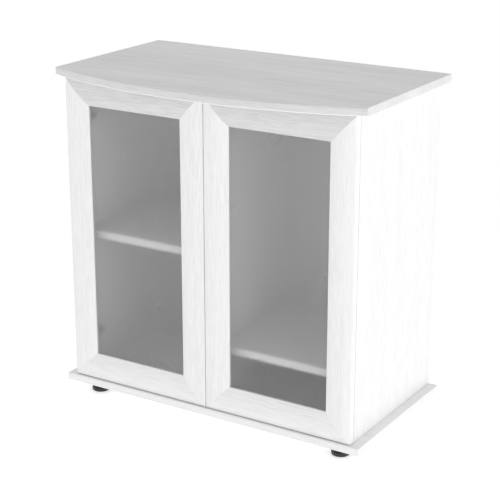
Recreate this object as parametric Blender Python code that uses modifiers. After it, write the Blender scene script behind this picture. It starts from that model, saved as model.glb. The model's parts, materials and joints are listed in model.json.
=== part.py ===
"""Aquarium stand cabinet with a bow-fronted top and two framed glass doors.

Frame: metres, +Z up. The origin is on the floor, under the centre of the
overall box. The doors face -Y, and +X is on the right of someone facing them.

The carcass is a bottom panel on four feet, two side panels, a centre divider,
a back panel with two cable openings, a shelf in each half and a top panel
whose front edge is a bow. Each door is a mitred frame of four crowned members
round a frosted pane. It hangs on two concealed cup hinges and shuts against a
sprung push latch, so it has no handle.
"""
import math

import bmesh
import bpy
from mathutils import Vector

# ---------------------------------------------------------------- overall
WIDTH = 0.810                  # top and bottom panels, side to side
SIDE_DEPTH = 0.410             # top panel, front corner to back
HEIGHT = 0.810                 # floor to the top surface
BOW_RISE = 0.075               # how far the bow stands in front of the corners
BOARD = 0.018                  # thickness of every carcass board
OVERHANG = 0.024               # top and bottom panels past the side panels
BASE_PROUD = 0.002             # bottom panel in front of the top's front corners
FOOT_HEIGHT = 0.028
FIT = 0.0003                   # gap between two pieces that touch
OVERCUT = 0.002                # how far a cutter runs past the face it opens

# ---------------------------------------------------------------- doors
DOOR_SETBACK = 0.0037          # front of a door's edge behind the top's corners
EDGE_THICKNESS = 0.016         # frame member at its outer edge
INNER_THICKNESS = 0.013        # frame member at the glass opening
CROWN = 0.006                  # height of the crowned face above its two edges
FRAME_WIDTH = 0.064            # frame member, outer edge to opening
DOOR_BACK_GAP = 0.002          # door to carcass front
DOOR_GAP = 0.0016              # between the two doors
DOOR_TOP_GAP = 0.0015
DOOR_BOTTOM_GAP = 0.002
REBATE_WIDTH = 0.008           # step that the pane sits in
LIP = 0.003                    # frame in front of the pane
GLASS = 0.004                  # pane thickness
GLASS_PLAY = 0.001             # pane to the rebate's wall
BEAD_WIDTH = 0.0072            # glazing bead behind the pane
BEAD_INSET = 0.0003            # bead behind the pane, ahead of the door's back
CROWN_STEPS = 10

# ---------------------------------------------------------------- facets
BOW_STEPS = 40                 # straight lengths in the bow
ROUND_STEPS = 24               # sides of a hinge cup and of other round pieces
FOOT_STEPS = 32
PLUNGER_STEPS = 20
PIN_STEPS = 16
CUP_PIN_STEPS = 12
EYE_STEPS = 8                  # half-turn round a link's end
SLOT_STEPS = 6                 # half-turn at a slot's end
CORNER_STEPS = 4               # quarter-turn at a cable opening's corner

# ---------------------------------------------------------------- inside
BACK_PANEL = 0.006
LEFT_SHELF_TOP = 0.416         # above the floor
RIGHT_SHELF_TOP = 0.198
SHELF_SETBACK = 0.019          # shelf behind the carcass front
SHELF_PLAY = 0.0015            # shelf to the boards beside it
PIN_HOLE_DEPTH = 0.008
PIN_HOLE_PLAY = 0.0003
PIN_SHAFT_R = 0.0025           # in the board
PIN_PEG_R = 0.0035             # under the shelf
PIN_PEG_LENGTH = 0.009
PIN_FROM_FRONT = 0.050         # front pins behind the shelf's front edge
PIN_FROM_BACK = 0.050
CABLE_WIDTH = 0.120            # opening in the back panel
CABLE_HEIGHT = 0.070
CABLE_RADIUS = 0.015
CABLE_DROP = 0.060             # opening below the top panel

# ---------------------------------------------------------------- feet
FOOT_R = 0.022
FOOT_CHAMFER = 0.002
FOOT_FROM_SIDE = 0.067         # foot's centre from the panel's side edge
FOOT_FROM_FRONT = 0.045
FOOT_FROM_BACK = 0.045

# ---------------------------------------------------------------- hinges
# Hinge places are (inward, rearward): inward from the door's outer edge, and
# rearward from the door's back face.
HINGE_FROM_END = 0.100         # hinge centre from the door's top or bottom
DOOR_AXIS = (0.0059, -0.010)   # the line that the door turns about
DOOR_OPEN = 95.0               # degrees
LINK_RATIO = 0.45              # link turn per door turn, the other way
CUP_FROM_EDGE = 0.004          # door's outer edge to the cup's seat
CUP_R = 0.0175
CUP_DEPTH = 0.0125
CUP_WALL = 0.0012
CUP_PLAY = 0.0003
CUP_RIM_LEDGE = 0.0015         # rim past the cup's wall
CUP_RIM = 0.0009               # thickness of the rim and ears
EAR_REACH = 0.028              # ear's end above and below the cup's centre
EAR_OFFSET = 0.0015            # ear's near edge past the cup's centre
EAR_WIDTH = 0.016
CUP_PIN_SHARE = 0.3714         # cup's pin from the door's axis, as a share of the way to the link's
CUP_PIN_R = 0.0010
LINK_HALF = 0.0042             # half the link's height
LINK_EYE_R = 0.0030
LINK_FLOOR_GAP = 0.0008        # link's eye to the cup's floor
LINK_TIP_R = 0.0027
LINK_SLOT_R = 0.0018
LINK_FROM_WALL = 0.009         # link's axis from the far side of the cup's seat
ARM_PIN_R = 0.0015
ARM_PIN_PLAY = 0.0002
ARM_HALF_WIDTH = 0.0034        # across, along X
ARM_HALF_HEIGHT = 0.007
ARM_CHEEK_GAP = 0.0004         # link to each cheek
ARM_SLOT_END = 0.003           # rearward end of the fork
ARM_LENGTH = 0.058             # rearward end of the arm
PLATE_FROM = 0.022             # mounting plate's front end, rearward
PLATE_TO = 0.054
PLATE_HALF = 0.008
WING_FROM = 0.029
WING_TO = 0.045
WING_HALF = 0.024
WING_SHARE = 0.3125            # wing's thickness as a share of the plate's

# ---------------------------------------------------------------- latches
LATCH_WIDTH = 0.016
LATCH_HEIGHT = 0.0165
LATCH_LENGTH = 0.060
LATCH_SETBACK = 0.004          # latch's front behind the carcass front
PLUNGER_R = 0.0042
PLUNGER_TIP = 0.001            # chamfer at the tip
PLUNGER_LENGTH = 0.038
PLUNGER_PLAY = 0.0003
PLUNGER_STROKE = 0.003         # how far a push drives it in
STRIKE = 0.001                 # strike plate's thickness
STRIKE_WIDTH = 0.018
STRIKE_HEIGHT = 0.012

# ---------------------------------------------------------------- worked out
BACK_Y = (SIDE_DEPTH + BOW_RISE) / 2
CORNER_Y = BACK_Y - SIDE_DEPTH
BASE_Z = FOOT_HEIGHT + BOARD                   # bottom panel's upper face
CEILING_Z = HEIGHT - BOARD                     # top panel's lower face
CARCASS_X = WIDTH / 2 - OVERHANG
INNER_X = CARCASS_X - BOARD
DOOR_BACK_Y = CORNER_Y + DOOR_SETBACK + EDGE_THICKNESS
CARCASS_Y = DOOR_BACK_Y + DOOR_BACK_GAP
BACK_PANEL_Y = BACK_Y - BACK_PANEL             # back panel's front face
DOOR_LOW = BASE_Z + DOOR_BOTTOM_GAP
DOOR_HIGH = CEILING_Z - DOOR_TOP_GAP
DOOR_IN = DOOR_GAP / 2                         # door's inner edge from the middle
CUP_CENTRE = CUP_FROM_EDGE + CUP_R             # from the door's outer edge
LINK_AXIS = (CUP_CENTRE + CUP_R - LINK_FROM_WALL,
             CUP_WALL + LINK_FLOOR_GAP + LINK_EYE_R - CUP_DEPTH)
ARM_IN = LINK_AXIS[0] - ARM_HALF_WIDTH         # arm's near face, inward
PLATE_THICKNESS = ARM_IN - BOARD - 2 * FIT     # it fills the room between board and arm
SIDES = {"left": -1, "right": 1}

PARTS = bpy.data.collections.new("aquarium_stand_cabinet")
CUTTERS = bpy.data.collections.new("cutters")


# ---------------------------------------------------------------- helpers
def clear_scene():
    for old in list(bpy.data.objects):
        bpy.data.objects.remove(old, do_unlink=True)
    for collection in (PARTS, CUTTERS):
        bpy.context.scene.collection.children.link(collection)


def finish(name, colour, roughness, metallic=0.0, alpha=1.0):
    material = bpy.data.materials.new(name)
    material.use_nodes = True
    shader = material.node_tree.nodes["Principled BSDF"]
    shader.inputs["Base Color"].default_value = (*colour, 1.0)
    shader.inputs["Roughness"].default_value = roughness
    shader.inputs["Metallic"].default_value = metallic
    shader.inputs["Alpha"].default_value = alpha
    return material


def add_object(name, data, where, material=None, parent=None):
    """Link new data as a part at a world place, or as a cutter without a material."""
    thing = bpy.data.objects.new(name, data)
    if material is None:
        CUTTERS.objects.link(thing)
        thing.hide_render = True
        thing.display_type = "WIRE"
    else:
        PARTS.objects.link(thing)
        data.materials.append(material)
    thing.location = Vector(where)
    if parent is not None:
        thing.parent = parent
        thing.location -= parent.location
    return thing


def add_axis(name, where):
    """An empty on a joint's axis, for the pieces that turn about it."""
    empty = bpy.data.objects.new(name, None)
    empty.empty_display_size = 0.03
    empty.location = where
    PARTS.objects.link(empty)
    return empty


def mesh_from(name, build):
    mesh = bpy.data.meshes.new(name)
    work = bmesh.new()
    build(work)
    work.to_mesh(mesh)
    work.free()
    return mesh


def box(name, low, high, material=None, parent=None):
    low, high = Vector(low), Vector(high)

    def build(work):
        bmesh.ops.create_cube(work, size=1.0)
        bmesh.ops.scale(work, vec=high - low, verts=work.verts)

    return add_object(name, mesh_from(name, build), (low + high) / 2, material, parent)


def mirrored_box(name, side, low, high, material=None, parent=None):
    """A box given for the +X side, moved to the other side when side is -1."""
    xs = sorted((side * low[0], side * high[0]))
    return box(name, (xs[0], *low[1:]), (xs[1], *high[1:]), material, parent)


def rod(name, centre, radius, length, turn=(0.0, 0.0, 0.0), material=None, segments=ROUND_STEPS):
    """A cylinder along Z, then turned."""
    def build(work):
        bmesh.ops.create_cone(work, cap_ends=True, segments=segments,
                              radius1=radius, radius2=radius, depth=length)

    thing = add_object(name, mesh_from(name, build), centre, material)
    thing.rotation_euler = turn
    return thing


def turned(name, profile, where, material, turn=(0.0, 0.0, 0.0), steps=ROUND_STEPS, parent=None):
    """A lathe shape: (radius, height) points down its outer side, on the axis at both ends."""
    mesh = bpy.data.meshes.new(name)
    points = [(radius, 0.0, height) for radius, height in profile]
    edges = [(i, i + 1) for i in range(len(points) - 1)]
    mesh.from_pydata(points, edges, [])
    thing = add_object(name, mesh, where, material, parent)
    thing.rotation_euler = turn
    screw = thing.modifiers.new("turn", "SCREW")
    screw.axis = "Z"
    screw.steps = steps
    screw.render_steps = steps
    screw.use_merge_vertices = True
    screw.merge_threshold = 0.00001
    return thing


def combine(target, operand, operation):
    modifier = target.modifiers.new(operation.lower(), "BOOLEAN")
    modifier.operation = operation
    modifier.solver = "EXACT"
    modifier.object = operand


def cut(target, cutter):
    combine(target, cutter, "DIFFERENCE")


def fuse(target, addition):
    combine(target, addition, "UNION")


def arc(centre, radius, start, end, steps):
    """Points on an arc in the XY plane, both ends included, angles in degrees."""
    turns = [math.radians(start + (end - start) * i / steps) for i in range(steps + 1)]
    return [(centre[0] + radius * math.cos(t), centre[1] + radius * math.sin(t)) for t in turns]


def flat_shape(name, outlines, thickness, where, material, parent=None):
    """A plate lying in XY, centred on its thickness; outlines after the first are holes."""
    curve = bpy.data.curves.new(name, "CURVE")
    curve.dimensions = "2D"
    curve.fill_mode = "BOTH"
    curve.extrude = thickness / 2
    for outline in outlines:
        spline = curve.splines.new("POLY")
        spline.points.add(len(outline) - 1)
        for point, (x, y) in zip(spline.points, outline):
            point.co = (x, y, 0.0, 1.0)
        spline.use_cyclic_u = True
    return add_object(name, curve, where, material, parent)


# ---------------------------------------------------------------- carcass
def top_panel(material):
    half = WIDTH / 2
    radius = (half ** 2 + BOW_RISE ** 2) / (2 * BOW_RISE)
    spread = math.degrees(math.asin(half / radius))
    centre = (0.0, CORNER_Y - BOW_RISE + radius)
    outline = arc(centre, radius, 270 - spread, 270 + spread, BOW_STEPS)
    outline += [(half, BACK_Y), (-half, BACK_Y)]
    flat_shape("top_panel", [outline], BOARD, (0, 0, HEIGHT - BOARD / 2), material)


def bottom_panel(material):
    box("bottom_panel", (-WIDTH / 2, CORNER_Y - BASE_PROUD, FOOT_HEIGHT),
        (WIDTH / 2, BACK_Y, BASE_Z), material)


def upright(name, low_x, high_x, back_y, material):
    return box(name, (low_x, CARCASS_Y, BASE_Z + FIT), (high_x, back_y, CEILING_Z - FIT), material)


def back_panel(material):
    edge = INNER_X - FIT
    panel = box("back_panel", (-edge, BACK_PANEL_Y, BASE_Z + FIT),
                (edge, BACK_Y, CEILING_Z - FIT), material)
    middle_z = CEILING_Z - CABLE_DROP - CABLE_HEIGHT / 2
    for word, side in SIDES.items():
        middle_x = side * (BOARD / 2 + INNER_X) / 2
        opening = box(f"cable_opening_{word}",
                      (middle_x - CABLE_WIDTH / 2, BACK_PANEL_Y - OVERCUT, middle_z - CABLE_HEIGHT / 2),
                      (middle_x + CABLE_WIDTH / 2, BACK_Y + OVERCUT, middle_z + CABLE_HEIGHT / 2))
        round_long_edges(opening, CABLE_RADIUS)
        cut(panel, opening)


def round_long_edges(thing, radius):
    """Round the edges that run along Y, so a box becomes a rounded slot."""
    work = bmesh.new()
    work.from_mesh(thing.data)
    along_y = [abs((e.verts[0].co - e.verts[1].co).normalized().y) for e in work.edges]
    long_edges = [e for e, along in zip(work.edges, along_y) if along > 0.5]
    bmesh.ops.bevel(work, geom=long_edges, offset=radius, segments=CORNER_STEPS, profile=0.5, affect="EDGES")
    work.to_mesh(thing.data)
    work.free()


def shelf(word, side, top_z, material, steel, boards):
    """A shelf on four pins; boards are the outer board and the divider that hold them."""
    front_y = CARCASS_Y + SHELF_SETBACK
    back_y = BACK_PANEL_Y - SHELF_PLAY
    mirrored_box(f"{word}_shelf", side, (BOARD / 2 + SHELF_PLAY, front_y, top_z - BOARD),
                 (INNER_X - SHELF_PLAY, back_y, top_z), material)
    pin_z = top_z - BOARD - FIT - PIN_PEG_R
    places = {"front": front_y + PIN_FROM_FRONT, "back": back_y - PIN_FROM_BACK}
    faces = {"outer": (INNER_X, 1), "inner": (BOARD / 2, -1)}
    for (where, (face_x, into)), board in zip(faces.items(), boards):
        for end, pin_y in places.items():
            shelf_pin(f"{word}_shelf_pin_{where}_{end}", side, face_x, into, pin_y, pin_z, steel, board)


def shelf_pin(name, side, face_x, into, pin_y, pin_z, material, board):
    """A stepped pin whose thin shaft goes into the board, towards into on the +X side."""
    reach = PIN_HOLE_DEPTH - FIT
    profile = [(0.0, reach), (PIN_SHAFT_R, reach), (PIN_SHAFT_R, -FIT),
               (PIN_PEG_R, -FIT), (PIN_PEG_R, -PIN_PEG_LENGTH), (0.0, -PIN_PEG_LENGTH)]
    turn = (0.0, side * into * math.pi / 2, 0.0)
    turned(name, profile, (side * face_x, pin_y, pin_z), material, turn, steps=PIN_STEPS)
    middle = side * (face_x + into * (PIN_HOLE_DEPTH - OVERCUT) / 2)
    cut(board, rod(f"{name}_hole", (middle, pin_y, pin_z), PIN_SHAFT_R + PIN_HOLE_PLAY,
                   PIN_HOLE_DEPTH + OVERCUT, turn, segments=PIN_STEPS))


def foot(name, x, y, material):
    top = FOOT_HEIGHT - FIT
    profile = [(0.0, top), (FOOT_R, top), (FOOT_R, FOOT_CHAMFER), (FOOT_R - FOOT_CHAMFER, 0.0), (0.0, 0.0)]
    turned(name, profile, (x, y, 0.0), material, steps=FOOT_STEPS)


def feet(material):
    places = {"front": CORNER_Y - BASE_PROUD + FOOT_FROM_FRONT, "back": BACK_Y - FOOT_FROM_BACK}
    for word, side in SIDES.items():
        for end, y in places.items():
            foot(f"foot_{end}_{word}", side * (WIDTH / 2 - FOOT_FROM_SIDE), y, material)


# ---------------------------------------------------------------- doors
def member_profile():
    """(inward, thickness) points of a frame member, from its back outer corner round the front."""
    crown = []
    for i in range(CROWN_STEPS + 1):
        t = i / CROWN_STEPS
        straight = EDGE_THICKNESS + (INNER_THICKNESS - EDGE_THICKNESS) * t
        crown.append((FRAME_WIDTH * t, straight + 4 * CROWN * t * (1 - t)))
    step = INNER_THICKNESS - LIP
    wall = FRAME_WIDTH - REBATE_WIDTH
    return [(0.0, 0.0)] + crown + [(FRAME_WIDTH, step), (wall, step), (wall, 0.0)]


def bead_profile():
    """(inward, thickness) points of a glazing bead, with its free corner cut away."""
    low = BEAD_INSET
    high = INNER_THICKNESS - LIP - FIT - GLASS - FIT
    chamfer = (high - low) / 2
    return [(0.0, low), (0.0, high), (BEAD_WIDTH, high), (BEAD_WIDTH, low + chamfer),
            (BEAD_WIDTH - chamfer, low)]


def mitred_strip(name, profile, length, where, turn, material, parent):
    """A strip along X with 45 degree ends: inward is +Z and thickness is -Y, before the turn."""
    def build(work):
        corners = [work.verts.new((-length / 2, -thickness, inward)) for inward, thickness in profile]
        face = work.faces.new(corners)
        grown = bmesh.ops.extrude_face_region(work, geom=[face])
        moved = [item for item in grown["geom"] if isinstance(item, bmesh.types.BMVert)]
        bmesh.ops.translate(work, vec=(length, 0, 0), verts=moved)
        for end in (-1, 1):
            plane = Vector((end * (length / 2 - FIT), 0, 0))
            cuts = bmesh.ops.bisect_plane(work, geom=work.verts[:] + work.edges[:] + work.faces[:],
                                          plane_co=plane, plane_no=Vector((end, 0, 1)), clear_outer=True)
            rim = [item for item in cuts["geom_cut"] if isinstance(item, bmesh.types.BMEdge)]
            bmesh.ops.edgeloop_fill(work, edges=rim)
        bmesh.ops.recalc_face_normals(work, faces=work.faces)

    strip = add_object(name, mesh_from(name, build), where, material, parent)
    strip.rotation_euler = (0.0, turn, 0.0)
    return strip


def strip_places(low_x, high_x, low_z, high_z, y):
    """Name, length, place and turn of the four strips round an outline."""
    middle_x, middle_z = (low_x + high_x) / 2, (low_z + high_z) / 2
    across, up = high_x - low_x, high_z - low_z
    return [("bottom_rail", across, (middle_x, y, low_z), 0.0),
            ("left_stile", up, (low_x, y, middle_z), math.pi / 2),
            ("top_rail", across, (middle_x, y, high_z), math.pi),
            ("right_stile", up, (high_x, y, middle_z), math.pi * 1.5)]


def door(word, side, finishes, parent):
    """Frame, pane and beads of one door. Returns its members by name."""
    low_x, high_x = sorted((side * DOOR_IN, side * CARCASS_X))
    members = {}
    for name, length, where, turn in strip_places(low_x, high_x, DOOR_LOW, DOOR_HIGH, DOOR_BACK_Y):
        members[name] = mitred_strip(f"{word}_door_{name}", member_profile(), length, where, turn,
                                     finishes["board"], parent)
    seat = FRAME_WIDTH - REBATE_WIDTH
    inset = seat + GLASS_PLAY
    glass_y = DOOR_BACK_Y - (INNER_THICKNESS - LIP - FIT)
    box(f"{word}_door_pane", (low_x + inset, glass_y, DOOR_LOW + inset),
        (high_x - inset, glass_y + GLASS, DOOR_HIGH - inset), finishes["frosted"], parent)
    inset = seat + FIT
    for name, length, where, turn in strip_places(low_x + inset, high_x - inset,
                                                  DOOR_LOW + inset, DOOR_HIGH - inset, DOOR_BACK_Y):
        mitred_strip(f"{word}_door_bead_{name}", bead_profile(), length, where, turn,
                     finishes["bead"], parent)
    return members


# ---------------------------------------------------------------- hinges
def hinge_place(side, inward, rearward, z):
    return Vector((side * (CARCASS_X - inward), DOOR_BACK_Y + rearward, z))


def pin_geometry():
    """The cup's pin place, and the link's rest direction and slot ends, in hinge places.

    The pin stands where the door's half-open position lines it up between the
    door's axis and the link's axis, so it comes equally near to the link's axis
    at both ends of the door's travel.
    """
    axis, arm = Vector(DOOR_AXIS), Vector(LINK_AXIS)
    reach = CUP_PIN_SHARE * (arm - axis).length
    towards_arm = math.atan2(arm.y - axis.y, arm.x - axis.x)
    at_rest = towards_arm + math.radians(DOOR_OPEN / 2)
    pin = axis + reach * Vector((math.cos(at_rest), math.sin(at_rest)))
    near = (arm - axis).length - reach
    far = (arm - pin).length
    link_turn = towards_arm + math.pi - math.radians(LINK_RATIO * DOOR_OPEN / 2)
    return pin, link_turn, near, far


def hinge(word, side, level, z, stile, finishes, parent):
    """One concealed hinge: cup on the door, link between, arm and plate on the side panel."""
    name = f"{word}_{level}_hinge"
    pin, link_turn, near, far = pin_geometry()
    hinge_cup(name, side, z, pin, stile, finishes["nickel"], parent)
    hinge_link(name, side, z, link_turn, near, far, finishes["nickel"])
    hinge_arm(name, side, z, finishes["nickel"])
    hinge_plate(name, side, z, finishes["nickel"])


def hinge_cup(name, side, z, pin, stile, material, parent):
    centre = hinge_place(side, CUP_CENTRE, 0.0, z)
    rear = (-math.pi / 2, 0.0, 0.0)
    rim_top = FIT + CUP_RIM
    rim_r = CUP_R + CUP_RIM_LEDGE
    profile = [(0.0, rim_top), (rim_r, rim_top), (rim_r, FIT), (CUP_R, FIT),
               (CUP_R, -CUP_DEPTH), (0.0, -CUP_DEPTH)]
    cup = turned(f"{name}_cup", profile, centre, material, rear, parent=parent)
    ears_near = CARCASS_X - CUP_CENTRE - EAR_OFFSET
    ears_low = (ears_near - EAR_WIDTH, DOOR_BACK_Y + FIT, z - EAR_REACH)
    ears_high = (ears_near, DOOR_BACK_Y + rim_top, z + EAR_REACH)
    fuse(cup, mirrored_box(f"{name}_ears", side, ears_low, ears_high))
    floor = CUP_DEPTH - CUP_WALL
    middle = hinge_place(side, CUP_CENTRE, (OVERCUT - floor) / 2, z)
    cut(cup, rod(f"{name}_hollow", middle, CUP_R - CUP_WALL, floor + OVERCUT, rear))
    pin_reach = math.sqrt((CUP_R - CUP_WALL / 2) ** 2 - (pin.x - CUP_CENTRE) ** 2)
    fuse(cup, rod(f"{name}_cup_pin", hinge_place(side, pin.x, pin.y, z), CUP_PIN_R,
                  2 * pin_reach, segments=CUP_PIN_STEPS))
    seat_depth = CUP_DEPTH + CUP_PLAY
    seat_middle = hinge_place(side, CUP_CENTRE, (OVERCUT - seat_depth) / 2, z)
    cut(stile, rod(f"{name}_seat", seat_middle, CUP_R + CUP_PLAY, seat_depth + OVERCUT, rear))


def hinge_link(name, side, z, link_turn, near, far, material):
    """A lever that turns on the arm's pin and has a slot for the cup's pin."""
    outline = arc((0, 0), LINK_EYE_R, 90, 270, EYE_STEPS) + arc((far, 0), LINK_TIP_R, -90, 90, EYE_STEPS)
    eye = arc((0, 0), ARM_PIN_R + ARM_PIN_PLAY, 0, 360, PIN_STEPS)[:-1]
    slot = arc((near, 0), LINK_SLOT_R, 90, 270, SLOT_STEPS) + arc((far, 0), LINK_SLOT_R, -90, 90, SLOT_STEPS)
    place = hinge_place(side, *LINK_AXIS, z)
    link = flat_shape(f"{name}_link", [outline, eye, slot], 2 * LINK_HALF, place, material)
    link.rotation_euler.z = link_turn if side < 0 else math.pi - link_turn


def hinge_arm(name, side, z, material):
    inward, rearward = LINK_AXIS
    near = CARCASS_X - ARM_IN
    low = (near - 2 * ARM_HALF_WIDTH, DOOR_BACK_Y + rearward - LINK_EYE_R, z - ARM_HALF_HEIGHT)
    high = (near, DOOR_BACK_Y + ARM_LENGTH, z + ARM_HALF_HEIGHT)
    arm = mirrored_box(f"{name}_arm", side, low, high, material)
    gap = LINK_HALF + ARM_CHEEK_GAP
    fork_low = (low[0] - OVERCUT, low[1] - OVERCUT, z - gap)
    fork_high = (high[0] + OVERCUT, DOOR_BACK_Y + ARM_SLOT_END, z + gap)
    cut(arm, mirrored_box(f"{name}_fork", side, fork_low, fork_high))
    fuse(arm, rod(f"{name}_arm_pin", hinge_place(side, inward, rearward, z), ARM_PIN_R,
                  2 * ARM_HALF_HEIGHT - 2 * FIT, segments=PIN_STEPS))


def hinge_plate(name, side, z, material):
    low = (INNER_X - FIT - PLATE_THICKNESS, DOOR_BACK_Y + PLATE_FROM, z - PLATE_HALF)
    high = (INNER_X - FIT, DOOR_BACK_Y + PLATE_TO, z + PLATE_HALF)
    plate = mirrored_box(f"{name}_plate", side, low, high, material)
    wing_low = (high[0] - WING_SHARE * PLATE_THICKNESS, DOOR_BACK_Y + WING_FROM, z - WING_HALF)
    wing_high = (high[0], DOOR_BACK_Y + WING_TO, z + WING_HALF)
    fuse(plate, mirrored_box(f"{name}_wings", side, wing_low, wing_high))


# ---------------------------------------------------------------- latches
def latch(word, side, finishes, parent):
    """A push latch under the top panel, beside the divider, and its strike on the door."""
    near_x = BOARD / 2 + FIT
    axis_x = near_x + LATCH_WIDTH / 2
    axis_z = CEILING_Z - FIT - LATCH_HEIGHT / 2
    front = CARCASS_Y + LATCH_SETBACK
    body = mirrored_box(f"{word}_latch_body", side, (near_x, front, CEILING_Z - FIT - LATCH_HEIGHT),
                        (near_x + LATCH_WIDTH, front + LATCH_LENGTH, CEILING_Z - FIT), finishes["latch"])
    strike_back = DOOR_BACK_Y + FIT + STRIKE
    tip = strike_back + FIT
    forward = (math.pi / 2, 0.0, 0.0)
    bore_start = front - OVERCUT
    bore_end = tip + PLUNGER_LENGTH + PLUNGER_STROKE + PLUNGER_PLAY
    cut(body, rod(f"{word}_latch_bore", (side * axis_x, (bore_start + bore_end) / 2, axis_z),
                  PLUNGER_R + PLUNGER_PLAY, bore_end - bore_start, forward, segments=PLUNGER_STEPS))
    profile = [(0.0, 0.0), (PLUNGER_R - PLUNGER_TIP, 0.0), (PLUNGER_R, -PLUNGER_TIP),
               (PLUNGER_R, -PLUNGER_LENGTH), (0.0, -PLUNGER_LENGTH)]
    turned(f"{word}_latch_plunger", profile, (side * axis_x, tip, axis_z), finishes["latch"],
           forward, steps=PLUNGER_STEPS)
    mirrored_box(f"{word}_strike_plate", side,
                 (axis_x - STRIKE_WIDTH / 2, DOOR_BACK_Y + FIT, axis_z - STRIKE_HEIGHT / 2),
                 (axis_x + STRIKE_WIDTH / 2, strike_back, axis_z + STRIKE_HEIGHT / 2),
                 finishes["nickel"], parent)


# ---------------------------------------------------------------- assembly
def build():
    clear_scene()
    finishes = {
        "board": finish("white_ash_board", (0.83, 0.82, 0.80), 0.45),
        "frosted": finish("frosted_glass", (0.55, 0.55, 0.55), 0.6, alpha=0.7),
        "bead": finish("white_plastic", (0.85, 0.85, 0.84), 0.4),
        "nickel": finish("nickel_plated_steel", (0.62, 0.62, 0.60), 0.3, 1.0),
        "latch": finish("grey_plastic", (0.45, 0.45, 0.45), 0.5),
        "foot": finish("black_plastic", (0.03, 0.03, 0.03), 0.5),
    }
    top_panel(finishes["board"])
    bottom_panel(finishes["board"])
    boards = {
        "left": upright("left_side_panel", -CARCASS_X, -INNER_X, BACK_Y, finishes["board"]),
        "right": upright("right_side_panel", INNER_X, CARCASS_X, BACK_Y, finishes["board"]),
    }
    divider = upright("centre_divider", -BOARD / 2, BOARD / 2, BACK_PANEL_Y - FIT, finishes["board"])
    back_panel(finishes["board"])
    feet(finishes["foot"])
    shelf_tops = {"left": LEFT_SHELF_TOP, "right": RIGHT_SHELF_TOP}
    for word, side in SIDES.items():
        shelf(word, side, shelf_tops[word], finishes["board"], finishes["nickel"],
              (boards[word], divider))
        axis = add_axis(f"{word}_door_axis", hinge_place(side, *DOOR_AXIS, BASE_Z))
        members = door(word, side, finishes, axis)
        outer_stile = members[f"{word}_stile"]
        levels = {"lower": DOOR_LOW + HINGE_FROM_END, "upper": DOOR_HIGH - HINGE_FROM_END}
        for level, z in levels.items():
            hinge(word, side, level, z, outer_stile, finishes, axis)
        latch(word, side, finishes, axis)


build()
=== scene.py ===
"""Looks of the aquarium stand cabinet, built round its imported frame.

Every board, door member, pane, bead, fitting and foot of the frame gets a
finished piece that stands in its own place and rides on its own body. Sizes
come from the frame's boxes and from the named fields of each class.

Frame: metres, +Z up, the doors face -Y.
"""

import json
import logging
import math
from dataclasses import dataclass
from enum import Enum

import bmesh
import bpy
import numpy as np
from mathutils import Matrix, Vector


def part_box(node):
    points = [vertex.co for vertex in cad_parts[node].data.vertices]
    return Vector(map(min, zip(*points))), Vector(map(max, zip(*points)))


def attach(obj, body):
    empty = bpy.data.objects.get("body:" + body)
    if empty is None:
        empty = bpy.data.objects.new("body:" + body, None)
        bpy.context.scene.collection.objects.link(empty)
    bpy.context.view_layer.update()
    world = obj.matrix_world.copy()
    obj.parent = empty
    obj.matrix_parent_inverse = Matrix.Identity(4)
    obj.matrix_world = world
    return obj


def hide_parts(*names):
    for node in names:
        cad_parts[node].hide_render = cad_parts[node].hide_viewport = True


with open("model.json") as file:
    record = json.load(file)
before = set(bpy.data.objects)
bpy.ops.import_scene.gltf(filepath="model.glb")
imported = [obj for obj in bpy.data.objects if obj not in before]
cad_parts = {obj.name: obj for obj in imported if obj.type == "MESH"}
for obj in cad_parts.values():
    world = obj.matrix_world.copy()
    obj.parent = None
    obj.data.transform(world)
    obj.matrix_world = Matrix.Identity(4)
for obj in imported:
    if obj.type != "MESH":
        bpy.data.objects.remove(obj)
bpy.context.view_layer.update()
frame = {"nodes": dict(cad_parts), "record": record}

LOG = logging.getLogger("aquarium_stand")
BODY_OF = {node: body for body, nodes in frame["record"]["behaviour"]["bodies"].items() for node in nodes}
SIDES = {"left": -1, "right": 1}
FIT = 0.0003                   # gap between two pieces that touch
GRAIN_MAP = "grain"            # a piece's own map: metres along its surface
SHARP_FROM = 32                # degrees between two faces that are shaded as an edge
ROUND_FROM = 40                # degrees between two faces whose edge is rounded


class Axis(Enum):
    """A direction that a prism, a turned piece or a grain runs along."""

    X = 0
    Y = 1
    Z = 2


# --- colour and nodes
def linear(code: str) -> tuple[float, float, float, float]:
    """Linear colour of an sRGB hex value.

    Args:
        code: six hex digits, such as "F2F1EE".

    Returns:
        Red, green, blue and an alpha of 1.
    """
    srgb = np.array([int(code[i:i + 2], 16) for i in (0, 2, 4)]) / 255
    lit = np.where(srgb <= 0.04045, srgb / 12.92, ((srgb + 0.055) / 1.055) ** 2.4)
    return (*(float(channel) for channel in lit), 1.0)


def add_node(tree: bpy.types.NodeTree, kind: str, sockets: dict | None = None, **settings) -> bpy.types.Node:
    """Add a node with its settings, its values and its links.

    Args:
        tree: the material's node tree.
        kind: Blender's name for the node.
        sockets: input name or number, with a value or the output socket that feeds it.
        **settings: the node's own properties.

    Returns:
        The new node.
    """
    node = tree.nodes.new(kind)
    for key, value in settings.items():
        setattr(node, key, value)
    for key, value in (sockets or {}).items():
        if isinstance(value, bpy.types.NodeSocket):
            tree.links.new(value, node.inputs[key])
        else:
            node.inputs[key].default_value = value
    return node


def calculated(tree: bpy.types.NodeTree, operation: str, *values) -> bpy.types.NodeSocket:
    """Add a maths node.

    Args:
        tree: the material's node tree.
        operation: Blender's name for the operation.
        *values: numbers or sockets, in the operation's order.

    Returns:
        The socket of the result.
    """
    return add_node(tree, "ShaderNodeMath", dict(enumerate(values)), operation=operation).outputs[0]


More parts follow.
